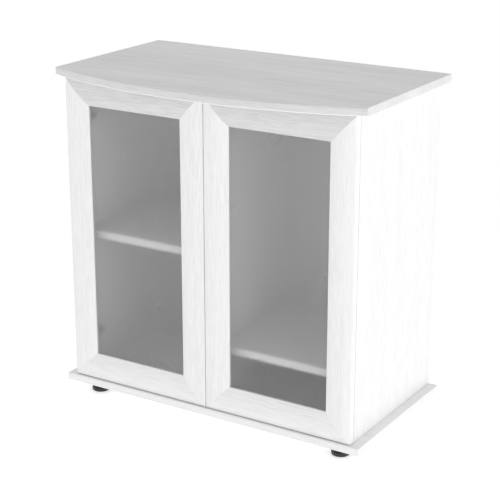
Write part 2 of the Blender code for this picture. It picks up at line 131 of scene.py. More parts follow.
def object_place(tree: bpy.types.NodeTree) -> bpy.types.NodeSocket:
    """The socket of object coordinates, which are metres."""
    return add_node(tree, "ShaderNodeTexCoord").outputs["Object"]


def noise(tree: bpy.types.NodeTree, place: bpy.types.NodeSocket, scale: float = 1.0, detail: float = 2.0,
          roughness: float = 0.5) -> bpy.types.NodeSocket:
    """Add a noise texture.

    Args:
        tree: the material's node tree.
        place: the coordinates it is read at.
        scale: lumps in one unit of them.
        detail: octaves finer than the lumps.
        roughness: strength of each octave, as a share of the one before.

    Returns:
        The socket of its value, mostly between 0.3 and 0.7.
    """
    sockets = {"Vector": place, "Scale": scale, "Detail": detail, "Roughness": roughness}
    return add_node(tree, "ShaderNodeTexNoise", sockets).outputs["Fac"]


def spread(tree: bpy.types.NodeTree, value: bpy.types.NodeSocket, low: float, high: float,
           start: float = 0.0, end: float = 1.0, kind: str = "LINEAR") -> bpy.types.NodeSocket:
    """Add a node that turns the range from start to end into the one from low to high.

    Args:
        tree: the material's node tree.
        value: the socket whose value is turned.
        low, high: the new range.
        start, end: the old range.
        kind: Blender's name for the curve between them.

    Returns:
        The socket of the result.
    """
    sockets = {"Value": value, "From Min": start, "From Max": end, "To Min": low, "To Max": high}
    return add_node(tree, "ShaderNodeMapRange", sockets, interpolation_type=kind).outputs["Result"]


def ramp(tree: bpy.types.NodeTree, factor: bpy.types.NodeSocket, stops: list[tuple]) -> bpy.types.NodeSocket:
    """Colours along a factor.

    Args:
        tree: the material's node tree.
        factor: the socket that picks the place on the ramp.
        stops: place and linear colour of each stop, two or more.

    Returns:
        The ramp's colour socket.
    """
    node = add_node(tree, "ShaderNodeValToRGB", {"Fac": factor})
    while len(node.color_ramp.elements) < len(stops):
        node.color_ramp.elements.new(0.5)
    for element, (place, colour) in zip(node.color_ramp.elements, stops):
        element.position = place
        element.color = colour
    return node.outputs["Color"]


@dataclass(frozen=True)
class Finish:
    """What a piece is made of and how its surface looks."""

    name: str
    slot: str

    def dress(self, tree: bpy.types.NodeTree, shader: bpy.types.Node) -> None:
        """Set the shader's sockets and add the pattern's nodes.

        Args:
            tree: the material's node tree.
            shader: its Principled node.
        """
        raise NotImplementedError

    def material(self) -> bpy.types.Material:
        """The finish's material, made once and shared."""
        made = bpy.data.materials.get(self.name)
        if made is None:
            made = bpy.data.materials.new(self.name)
            made.use_nodes = True
            self.dress(made.node_tree, made.node_tree.nodes["Principled BSDF"])
        return made


@dataclass(frozen=True)
class AshMelamine(Finish):
    """White-washed ash print on melamine-faced board: satin, with fine grey fibres
    along the grain, broad soft figure between them and a faint pore relief."""

    grain: Axis = Axis.X
    shift: float = 0.0             # moves the pattern, so two boards don't share one
    follows_map: bool = False      # take the grain from the piece's own map, not from its place
    pale: str = "F9F9F9"
    middle: str = "F2F2F2"
    shade: str = "E6E6E6"
    fibre_length: float = 0.045
    fibre_width: float = 0.0013    # real fibres are about 1 mm; drawn wider so that they show
    figure_length: float = 0.60
    figure_width: float = 0.034
    figure_turns: float = 14.0     # how many times the figure repeats over its range
    figure_share: float = 0.03
    pore_depth: float = 0.00005
    roughness: float = 0.46
    ior: float = 1.5

    def stretched(self, tree: bpy.types.NodeTree, along: float, across: float) -> bpy.types.NodeSocket:
        """Coordinates in which one unit is a given length along the grain and across it.

        Args:
            tree: the material's node tree.
            along: length of one unit along the grain, in metres.
            across: length of one unit in the two other directions.

        Returns:
            The socket of the scaled coordinates.
        """
        if self.follows_map:
            coords = add_node(tree, "ShaderNodeUVMap", uv_map=GRAIN_MAP).outputs["UV"]
        else:
            coords = object_place(tree)
        scale = [1 / across] * 3
        scale[self.grain.value] = 1 / along
        place = (self.shift, 1.7 * self.shift, 2.3 * self.shift)
        mapped = add_node(tree, "ShaderNodeMapping", {"Vector": coords, "Scale": scale, "Location": place})
        return mapped.outputs["Vector"]

    def dress(self, tree: bpy.types.NodeTree, shader: bpy.types.Node) -> None:
        """Fibres and figure are added, and pick the tone between shade and pale."""
        fibres = noise(tree, self.stretched(tree, self.fibre_length, self.fibre_width), 1.0, 3.0, 0.6)
        drift = noise(tree, self.stretched(tree, self.figure_length, self.figure_width), 1.0, 2.0, 0.45)
        turns = calculated(tree, "MULTIPLY", drift, self.figure_turns)
        wave = calculated(tree, "SINE", turns)
        tone = calculated(tree, "MULTIPLY_ADD", wave, self.figure_share, fibres)
        colour = ramp(tree, tone, [(0.30, linear(self.shade)), (0.50, linear(self.middle)),
                                   (0.70, linear(self.pale))])
        relief = add_node(tree, "ShaderNodeBump", {
            "Height": fibres, "Distance": self.pore_depth, "Strength": 0.6})
        tree.links.new(colour, shader.inputs["Base Color"])
        tree.links.new(relief.outputs["Normal"], shader.inputs["Normal"])
        shader.inputs["Roughness"].default_value = self.roughness
        shader.inputs["IOR"].default_value = self.ior


@dataclass(frozen=True)
class PaintedHighlightEdging(AshMelamine):
    """Ash-print edging strip with a painted highlight: a pale line along its lower arris stands for the light
    that the arris catches.
    """

    highlight_height: float = 0.0015        # height of the painted highlight
    highlight_tone: str = "FFFFFF"

    def dress(self, tree: bpy.types.NodeTree, shader: bpy.types.Node) -> None:
        """The print, and the painted highlight's pale tone below its height."""
        super().dress(tree, shader)
        printed = shader.inputs["Base Color"].links[0].from_socket
        coords = add_node(tree, "ShaderNodeUVMap", uv_map=GRAIN_MAP)
        place = add_node(tree, "ShaderNodeSeparateXYZ", {"Vector": coords.outputs["UV"]})
        # Painted highlight: below this height the strip is drawn paler than the print.
        painted_highlight_mask = calculated(tree, "LESS_THAN", place.outputs["Y"], self.highlight_height)
        # Inputs 6 and 7 of the mix node are its two colours, and output 2 is the mixed one.
        both = add_node(tree, "ShaderNodeMix", {
            0: painted_highlight_mask, 6: printed, 7: linear(self.highlight_tone)}, data_type="RGBA")
        tree.links.new(both.outputs[2], shader.inputs["Base Color"])


@dataclass(frozen=True)
class EtchedGlass(Finish):
    """Acid-etched float glass: it lets light through and blurs what stands behind it."""

    tint: str = "FDFDFD"
    blur: float = 0.27
    unevenness: float = 0.01       # how far the blur strays either way
    etch_lumps: float = 12.0       # of more or less blur, in a metre
    clear: float = 0.975           # share of the light that the etch lets through
    ior: float = 1.52

    def dress(self, tree: bpy.types.NodeTree, shader: bpy.types.Node) -> None:
        """A slightly uneven etch on clear glass."""
        etch = noise(tree, object_place(tree), self.etch_lumps, 1.0)
        blur = spread(tree, etch, self.blur - self.unevenness, self.blur + self.unevenness)
        tree.links.new(blur, shader.inputs["Roughness"])
        shader.inputs["Base Color"].default_value = linear(self.tint)
        shader.inputs["Transmission Weight"].default_value = self.clear
        shader.inputs["IOR"].default_value = self.ior
        # Lamps shine through the pane onto what stands behind it.
        path = add_node(tree, "ShaderNodeLightPath")
        open_glass = add_node(tree, "ShaderNodeBsdfTransparent", {"Color": linear(self.tint)})
        both = add_node(tree, "ShaderNodeMixShader", {
            0: path.outputs["Is Shadow Ray"], 1: shader.outputs[0], 2: open_glass.outputs[0]})
        tree.links.new(both.outputs[0], tree.nodes["Material Output"].inputs["Surface"])


@dataclass(frozen=True)
class PlatedSteel(Finish):
    """Nickel-plated pressed steel: warm grey mirror softened by the rolling marks."""

    colour: str = "CFCBC3"
    mark_width: float = 0.0008
    mark_length: float = 1 / 30
    polished: float = 0.2          # roughness between the marks
    marked: float = 0.36           # roughness in them

    def dress(self, tree: bpy.types.NodeTree, shader: bpy.types.Node) -> None:
        """Rolling marks change the roughness along one direction."""
        scale = (1 / self.mark_width, 1 / self.mark_width, 1 / self.mark_length)
        mapped = add_node(tree, "ShaderNodeMapping", {"Vector": object_place(tree), "Scale": scale})
        marks = noise(tree, mapped.outputs["Vector"])
        tree.links.new(spread(tree, marks, self.polished, self.marked), shader.inputs["Roughness"])
        shader.inputs["Base Color"].default_value = linear(self.colour)
        shader.inputs["Metallic"].default_value = 1.0


@dataclass(frozen=True)
class MouldedPlastic(Finish):
    """Injection-moulded plastic with the fine spark texture of its mould."""

    colour: str = "8A8C8E"
    roughness: float = 0.42
    unevenness: float = 0.06       # how far the roughness strays either way
    gloss_clouds: float = 60.0     # of more or less gloss, in a metre
    texture: float = 0.0006        # size of one grain of the mould's texture
    texture_depth: float = 0.00005

    def dress(self, tree: bpy.types.NodeTree, shader: bpy.types.Node) -> None:
        """The mould's grain is a small bump, and clouds of it change the gloss."""
        grain = noise(tree, object_place(tree), 1 / self.texture, 1.0)
        clouds = noise(tree, object_place(tree), self.gloss_clouds)
        rough = spread(tree, clouds, self.roughness - self.unevenness, self.roughness + self.unevenness)
        relief = add_node(tree, "ShaderNodeBump", {
            "Height": grain, "Distance": self.texture_depth, "Strength": 0.5})
        tree.links.new(rough, shader.inputs["Roughness"])
        tree.links.new(relief.outputs["Normal"], shader.inputs["Normal"])
        shader.inputs["Base Color"].default_value = linear(self.colour)


@dataclass(frozen=True)
class PaintedHardboard(Finish):
    """White roller-painted hardboard: matt, with a soft orange-peel skin."""

    colour: str = "EEEEEE"
    thin_paint: str = "E9E9E9"
    peel: float = 0.0025           # one dimple of the orange peel
    peel_depth: float = 0.0002
    paint_clouds: float = 9.0      # of thicker or thinner paint, in a metre
    roughness: float = 0.55

    def dress(self, tree: bpy.types.NodeTree, shader: bpy.types.Node) -> None:
        """The peel is a bump, and broad clouds of thinner paint grey it a little."""
        peel = noise(tree, object_place(tree), 1 / self.peel)
        clouds = noise(tree, object_place(tree), self.paint_clouds, 3.0)
        tones = [(0.3, linear(self.thin_paint)), (0.65, linear(self.colour))]
        colour = ramp(tree, clouds, tones)
        relief = add_node(tree, "ShaderNodeBump", {
            "Height": peel, "Distance": self.peel_depth, "Strength": 0.35})
        tree.links.new(colour, shader.inputs["Base Color"])
        tree.links.new(relief.outputs["Normal"], shader.inputs["Normal"])
        shader.inputs["Roughness"].default_value = self.roughness


# --- shells
@dataclass
class Shell:
    """A closed surface: its points, and its faces as rows of point numbers."""

    points: np.ndarray
    faces: list

    @staticmethod
    def from_grid(rings: np.ndarray) -> "Shell":
        """Close a grid whose rows are closed rings, with a face over the first and the last ring.

        Args:
            rings: (rows, points in a ring, 3) array.

        Returns:
            The shell. Face (i, j) joins points (i, j), (i, j+1), (i+1, j+1), (i+1, j).
        """
        rows, count, _ = rings.shape
        number = np.arange(rows * count).reshape(rows, count)
        following = np.roll(number, -1, axis=1)
        quads = np.stack([number[:-1], following[:-1], following[1:], number[1:]], axis=-1)
        caps = [number[0][::-1].tolist(), number[-1].tolist()]
        return Shell(rings.reshape(-1, 3), quads.reshape(-1, 4).tolist() + caps)


def placed(first: np.ndarray, second: np.ndarray, along: np.ndarray, axis: Axis) -> np.ndarray:
    """Put three coordinates in the order X, Y, Z.

    Args:
        first: coordinate on the axis that follows the given one, in the cycle X, Y, Z.
        second: coordinate on the axis after that. For Y the two are Z's and X's.
        along: coordinate along the axis itself.
        axis: the axis.

    Returns:
        The points, one for each place of the broadcast arrays.
    """
    order = {Axis.X: (along, first, second), Axis.Y: (second, along, first), Axis.Z: (first, second, along)}
    return np.stack(np.broadcast_arrays(*order[axis]), axis=-1)


def eased(corners: np.ndarray, easing: np.ndarray, steps: int = 5) -> np.ndarray:
    """Round the corners of a closed outline.

    Each corner p becomes the quadratic curve (1-s)^2 a + 2s(1-s) p + s^2 b, where
    a and b lie on the two sides, the corner's easing away from it.

    Args:
        corners: (n, 2) outline.
        easing: length cut off each side at each corner, in metres.
        steps: lengths of the curve.

    Returns:
        (n * (steps + 1), 2) outline.
    """
    before = np.roll(corners, 1, axis=0) - corners
    after = np.roll(corners, -1, axis=0) - corners
    easing = np.broadcast_to(easing, len(corners))[:, None]
    start = corners + before / np.linalg.norm(before, axis=1, keepdims=True) * easing
    end = corners + after / np.linalg.norm(after, axis=1, keepdims=True) * easing
    s = np.linspace(0, 1, steps + 1)[None, :, None]
    curve = (1 - s) ** 2 * start[:, None] + 2 * s * (1 - s) * corners[:, None] + s ** 2 * end[:, None]
    return curve.reshape(-1, 2)


def prism(outline: np.ndarray, low: float, high: float, axis: Axis) -> Shell:
    """Carry a closed (n, 2) outline straight from low to high along an axis."""
    ends = np.array([low, high])[:, None]
    return Shell.from_grid(placed(outline[None, :, 0], outline[None, :, 1], ends, axis))


def block(low: Vector, high: Vector, axis: Axis) -> Shell:
    """A rectangular bar between two corners.

    Args:
        low: its lowest corner.
        high: its highest corner.
        axis: the direction its outline is carried along.

    Returns:
        The bar's shell.
    """
    across = [(axis.value + 1) % 3, (axis.value + 2) % 3]
    (a0, b0), (a1, b1) = [low[i] for i in across], [high[i] for i in across]
    return prism(np.array([(a0, b0), (a1, b0), (a1, b1), (a0, b1)]), low[axis.value], high[axis.value], axis)


def turned(profile: np.ndarray, centre: tuple, axis: Axis, steps: int = 48) -> Shell:
    """Turn a (radius, height) profile about an axis through a centre.

    The point at angle t is centre + radius (cos t, sin t) across the axis + height along it.

    Args:
        profile: (n, 2) points, closed by flat ends at the first and last height.
        centre: a point on the axis, where height is 0.
        axis: the direction of height.
        steps: sides of the round.

    Returns:
        The closed shell.
    """
    angle = np.linspace(0, 2 * np.pi, steps, endpoint=False)[None, :]
    radius, height = profile[:, :1], profile[:, 1:]
    return Shell.from_grid(placed(radius * np.cos(angle), radius * np.sin(angle), height, axis)
                           + np.array(centre))


def joined(shells: list[Shell]) -> Shell:
    """Put several closed surfaces into one shell, in their order."""
    starts = np.cumsum([0] + [len(shell.points) for shell in shells[:-1]])
    faces = [[start + i for i in face]
             for start, shell in zip(starts.tolist(), shells) for face in shell.faces]
    return Shell(np.concatenate([shell.points for shell in shells]), faces)


def screw_head(centre: tuple, axis: Axis, outward: int, radius: float = 0.0034) -> Shell:
    """A raised screw head with a cross recess.

    The dome's ring at turn t has radius (0.72 + 0.28 cos t) and height 0.42 sin t,
    and the recess's outline at angle a is 0.62 (0.3 + 0.7 |cos 2a|^3), all as
    shares of the head's radius. The recess narrows to 0.55 of that and ends
    0.10 above the head's underside.

    Args:
        centre: the middle of the head's underside.
        axis: the screw's direction.
        outward: 1 when the head faces up the axis, -1 when it faces down.
        radius: half the head's width.

    Returns:
        The head's closed shell.
    """
    angle = np.linspace(0, 2 * np.pi, 64, endpoint=False)[None, :]
    turn = np.linspace(0, np.pi / 2, 7)[:-1, None]
    cross = 0.62 * (0.3 + 0.7 * np.abs(np.cos(2 * angle)) ** 3)
    dome = np.broadcast_to(0.72 + 0.28 * np.cos(turn), (len(turn), angle.size))
    rings = radius * np.concatenate([np.ones_like(angle), dome, cross, 0.55 * cross])
    height = radius * np.concatenate([[[0.0]], 0.42 * np.sin(turn), [[0.42], [0.10]]])
    points = placed(rings * np.cos(angle), rings * np.sin(angle), outward * height, axis)
    return Shell.from_grid(points + np.array(centre))


def shell_mesh(name: str, shell: Shell) -> bpy.types.Mesh:
    """A shell as a mesh, its faces turned outward."""
    mesh = bpy.data.meshes.new(name)
    mesh.from_pydata(shell.points, [], shell.faces)
    work = bmesh.new()
    work.from_mesh(mesh)
    bmesh.ops.recalc_face_normals(work, faces=work.faces)
    work.to_mesh(mesh)
    work.free()
    return mesh


def cut_out(mesh: bpy.types.Mesh, cutters: list[Shell]) -> bpy.types.Mesh:
    """Cut closed surfaces out of a mesh.

    Args:
        mesh: the mesh, which stays as it is.
        cutters: the surfaces, clear of each other.

    Returns:
        What is left, as a new mesh.
    """
    body = bpy.data.objects.new("cut_body", mesh)
    tool = bpy.data.objects.new("cut_tool", shell_mesh("cut_tool", joined(cutters)))
    for thing in (body, tool):
        bpy.context.scene.collection.objects.link(thing)
    cut = body.modifiers.new("cut", "BOOLEAN")
    cut.operation, cut.solver, cut.object = "DIFFERENCE", "EXACT", tool
    result = bpy.data.meshes.new_from_object(body.evaluated_get(bpy.context.evaluated_depsgraph_get()))
    result.name = mesh.name
    for thing in (body, tool):
        bpy.data.objects.remove(thing)
    return result


def add_piece(name: str, shell: Shell, finish: Finish, node: str, stands_for: bool = True,
              ease: float = 0.0, segments: int = 3) -> bpy.types.Object:
    """Make a shell into a finished piece that rides on its node's body.

    Args:
        name: the piece's name.
        shell: its closed surface.
        finish: what it is made of.
        node: the CAD node it stands for or belongs with.
        stands_for: whether that node is then hidden.
        ease: radius of the rounded arrises, 0 for none.
        segments: facets of that round.

    Returns:
        The piece.
    """
    return dress_piece(name, shell_mesh(name, shell), finish, node, stands_for, ease, segments)


def dress_piece(name: str, mesh: bpy.types.Mesh, finish: Finish, node: str, stands_for: bool = True,
                ease: float = 0.0, segments: int = 3) -> bpy.types.Object:
    """Shade a mesh, round its arrises and put it on its node's body.

    Args:
        name: the piece's name.
        mesh: its surface.
        finish, node, stands_for, ease, segments: as for add_piece.

    Returns:
        The piece.
    """
    mesh.shade_smooth()
    mesh.set_sharp_from_angle(angle=math.radians(SHARP_FROM))
    mesh.materials.append(finish.material())
    piece = bpy.data.objects.new(name, mesh)
    bpy.context.scene.collection.objects.link(piece)
    if ease:
        bevel = piece.modifiers.new("arris", "BEVEL")
        bevel.width = ease
        bevel.segments = segments
        bevel.limit_method = "ANGLE"
        bevel.angle_limit = math.radians(ROUND_FROM)
        bevel.harden_normals = True
    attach(piece, BODY_OF[node])
    if stands_for:
        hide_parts(node)
    LOG.info("%s on %s", name, BODY_OF[node])
    return piece


def write_map(mesh: bpy.types.Mesh, places: np.ndarray) -> None:
    """Give a mesh its own map, from one (along, across) place in metres for each point."""
    corner = np.zeros(len(mesh.loops), dtype=int)
    mesh.loops.foreach_get("vertex_index", corner)
    layer = mesh.uv_layers.new(name=GRAIN_MAP)
    layer.data.foreach_set("uv", places[corner].astype(np.float32).ravel())


def box_arrises(work: bmesh.types.BMesh, node: str, near: float = 0.00002) -> None:
    """Mark the edges along the outside of a node's box, so that only they are rounded.

    An edge counts when both its ends lie on the same two faces of the box.

    Args:
        work: the node's mesh, which gets the marks as bevel weights.
        node: the CAD node.
        near: how far from a face of the box a point still counts as on it.
    """
    low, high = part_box(node)
    weight = work.edges.layers.float.new("bevel_weight_edge")

    def faces(point: Vector) -> set:
        """The box's faces that a point lies on, as axis and end."""
        return {(i, end) for i in range(3) for end in (0, 1) if abs(point[i] - (low, high)[end][i]) < near}

    for edge in work.edges:
        shared = faces(edge.verts[0].co) & faces(edge.verts[1].co)
        edge[weight] = float(len(shared) == 2)


def eased_copy(name: str, node: str, finish: Finish, ease: float, box_only: bool = False) -> bpy.types.Object:
    """A merged copy of a CAD node whose shape is right, with its arrises rounded.

    Args:
        name: the piece's name.
        node: the CAD node.
        finish: what it is made of.
        ease: radius of the rounded arrises.
        box_only: round only the edges of the node's box, and leave holes and housings sharp.

    Returns:
        The piece.
    """
    work = bmesh.new()
    work.from_mesh(frame["nodes"][node].data)
    bmesh.ops.remove_doubles(work, verts=work.verts, dist=0.00001)
    bmesh.ops.dissolve_limit(work, angle_limit=math.radians(1), verts=work.verts, edges=work.edges)
    if box_only:
        box_arrises(work, node)
    mesh = bpy.data.meshes.new(name)
    work.to_mesh(mesh)
    work.free()
    piece = dress_piece(name, mesh, finish, node, ease=ease)
    if box_only:
        piece.modifiers["arris"].limit_method = "WEIGHT"
    return piece


# --- finishes
ASH = {
    # The top panel's tones are darker overall than the uprights': painted shade for the weaker light from
    # above. Its broad figure is the print.
    "top_panel": AshMelamine("white_ash_melamine_top_painted_shade", "white_ash_board", Axis.X, 0.37,
                             pale="EEEEEE", middle="E3E3E3", shade="D3D3D3", fibre_width=0.0022,
                             fibre_length=0.12, figure_length=0.9, figure_width=0.060, figure_turns=11.0,
                             figure_share=0.06),
    # The bow edging's darker tones are painted shade, where the bow faces away from the light. Its pale lower
    # arris is a painted highlight.
    "bow_band": PaintedHighlightEdging("white_ash_edging_bow_painted_shade_and_highlight", "white_ash_board", Axis.X, 4.21, follows_map=True,
                              pale="E4E4E4", middle="DADADA", shade="CCCCCC"),
    # The bottom panel's tones are a little darker than the uprights': painted shade.
    "bottom_panel": AshMelamine("white_ash_melamine_bottom_painted_shade", "white_ash_board", Axis.X, 1.91,
                                pale="F7F7F7", middle="F0F0F0", shade="E6E6E6"),
    "upright": AshMelamine("white_ash_melamine_upright", "white_ash_board", Axis.Z, 3.13),
    # The shelf's darker tones are painted shade. Its front edging's pure white is painted light, so that the
    # shelf reads through the etched glass as a bright band.
    "shelf": AshMelamine("white_ash_melamine_shelf_painted_shade", "white_ash_board", Axis.X, 5.71,
                         pale="F4F4F4", middle="EBEBEB", shade="E2E2E2"),
    "shelf_edging": AshMelamine("white_ash_edging_shelf_painted_light", "white_ash_board", Axis.X, 6.13,
                                pale="FFFFFF", middle="FFFFFF", shade="F8F8F8"),
    # The rails' tones are painted shade: the top rail darker for the shadow under the top's overhang, and the
    # bottom rail a little darker than the stiles.
    "top_rail": AshMelamine("white_ash_foil_top_rail_painted_shade", "white_ash_board", Axis.X, 7.43,
                            pale="E5E5E5", middle="DADADA", shade="C9C9C9"),
    "bottom_rail": AshMelamine("white_ash_foil_bottom_rail_painted_shade", "white_ash_board", Axis.X, 8.29,
                               pale="F5F5F5", middle="EEEEEE", shade="E3E3E3"),
    "stile": AshMelamine("white_ash_foil_stile", "white_ash_board", Axis.Z, 9.87),
}
GLASS = EtchedGlass("acid_etched_float_glass", "frosted_glass")
BEAD = MouldedPlastic("extruded_white_bead", "white_plastic", "EDEDED", 0.38)
NICKEL = PlatedSteel("nickel_plated_steel", "nickel_steel")
GREY = MouldedPlastic("moulded_grey_plastic", "grey_plastic", "9A9C9E", 0.42)
BLACK = MouldedPlastic("moulded_black_plastic", "black_plastic", "2A2A2B", 0.40)
HARDBOARD = PaintedHardboard("white_painted_hardboard", "white_ash_board")


# --- carcass
@dataclass
class Carcass:
    """Top, bottom, sides, divider, back and shelves."""

    side_depth: float = 0.410      # top panel, front corner to back
    bow_steps: int = 120
    band: float = 0.0012           # thickness of the edging along the bow and the shelves
    seam: float = 0.00005          # between an edging and its board
    arris: float = 0.0016
    edging_arris: float = 0.0005   # on the front of a shelf
    sawn_arris: float = 0.0003     # on the shelves' other edges
    top_arris: float = 0.0004      # on the top's sides and back
    side_arris: float = 0.0008
    screw_pitch: float = 0.140     # longest distance between the back's screws
    screw_margin: float = 0.009    # from the back's edges
    screw_radius: float = 0.0030
    screw_sunk: float = 0.0013     # the heads are drawn in flush with the back

    def bow(self, inside: float) -> np.ndarray:
        """Points along the top panel's front, a distance inside it.

        The front is an arc through the two front corners and the box's front,
        radius = (half width^2 + rise^2) / (2 rise). A line inside it is an arc
        about the same centre, cut off at the same two sides.

        Args:
            inside: how far the line lies behind the front.

        Returns:
            (n, 2) points, from left to right.
        """
        low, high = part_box("top_panel")
        half = high.x
        corner_y = high.y - self.side_depth
        rise = corner_y - low.y
        radius = (half ** 2 + rise ** 2) / (2 * rise)
        x = np.linspace(-half, half, self.bow_steps + 1)
        y = low.y + radius - np.sqrt((radius - inside) ** 2 - x ** 2)
        return np.stack([x, y], axis=1)

    def bow_band(self) -> None:
        """The edging along the bow, with its map along the arc and up the edge.

        Its section is a strip as deep as the band and as tall as the panel, with
        a quarter round on each of its two front arrises.
        """
        low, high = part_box("top_panel")
        front, back = self.bow(0.0), self.bow(self.band - self.seam)
        tall = high.z - low.z
        turn = np.linspace(0, np.pi / 2, 5)
        r = self.arris
        depth = np.concatenate([[self.band], r * (1 - np.sin(turn)), r * (1 - np.cos(turn)), [self.band]])
        height = np.concatenate([[0.0], r * (1 - np.cos(turn)), tall - r * (1 - np.sin(turn)), [tall]])
        share = np.minimum(depth / self.band, 1.0)
        across = front[:, None] + (back - front)[:, None] * share[None, :, None]
        up = np.broadcast_to(low.z + height[None, :, None], (*across.shape[:2], 1))
        rings = np.concatenate([across, up], axis=2)
        arc = np.concatenate([[0.0], np.cumsum(np.linalg.norm(np.diff(front, axis=0), axis=1))])
        maps = np.stack(np.broadcast_arrays(arc[:, None], height[None, :]), axis=-1).reshape(-1, 2)
        # The edging's finish carries painted shade in its tones and a painted highlight along its lower
        # arris.
        piece = add_piece("top_panel_bow_edging", Shell.from_grid(rings), ASH["bow_band"], "top_panel",
                          stands_for=False)
        write_map(piece.data, maps)

    def back_screws(self) -> None:
        """A screw in each corner of the back and evenly between them."""
        low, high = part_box("back_panel")
        low, high = low + Vector([self.screw_margin] * 3), high - Vector([self.screw_margin] * 3)
        across = np.linspace(low.x, high.x, 1 + math.ceil((high.x - low.x) / self.screw_pitch))
        up = np.linspace(low.z, high.z, 1 + math.ceil((high.z - low.z) / self.screw_pitch))
        places = [(x, z) for x in across for z in (low.z, high.z)]
        places += [(x, z) for x in (low.x, high.x) for z in up[1:-1]]
        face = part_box("back_panel")[1].y - self.screw_sunk
        heads = joined([screw_head((x, face, z), Axis.Y, 1, self.screw_radius) for x, z in places])
        add_piece("back_panel_screws", heads, NICKEL, "back_panel", stands_for=False)

    def shelf(self, node: str) -> None:
        """A shelf board and the edging strip along its front."""
        low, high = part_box(node)
        front = low.y + self.band
        board = block(Vector((low.x, front, low.z)), high, Axis.X)
        add_piece(f"{node}_laminated", board, ASH["shelf"], node, ease=self.sawn_arris, segments=2)
        # The edging's pure white, brighter than the board, is painted light.
        strip = block(low, Vector((high.x, front - self.seam, high.z)), Axis.X)
        add_piece(f"{node}_front_edging", strip, ASH["shelf_edging"], node, stands_for=False,
                  ease=self.edging_arris)

    def build(self) -> None:
        """Make the boards."""
        low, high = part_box("top_panel")
        outline = np.vstack([self.bow(self.band), [(high.x, high.y), (low.x, high.y)]])
        add_piece("top_panel_laminated", prism(outline, low.z, high.z, Axis.Z), ASH["top_panel"],
                  "top_panel", ease=self.top_arris, segments=2)
        self.bow_band()
        add_piece("bottom_panel_laminated", block(*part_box("bottom_panel"), Axis.X), ASH["bottom_panel"],
                  "bottom_panel", ease=self.arris, segments=4)
        for node in ("left_side_panel", "right_side_panel", "centre_divider"):
            eased_copy(f"{node}_laminated", node, ASH["upright"], self.side_arris, box_only=True)
        eased_copy("back_panel_painted", "back_panel", HARDBOARD, self.side_arris, box_only=True)
        self.back_screws()
        for word in SIDES:
            self.shelf(f"{word}_shelf")


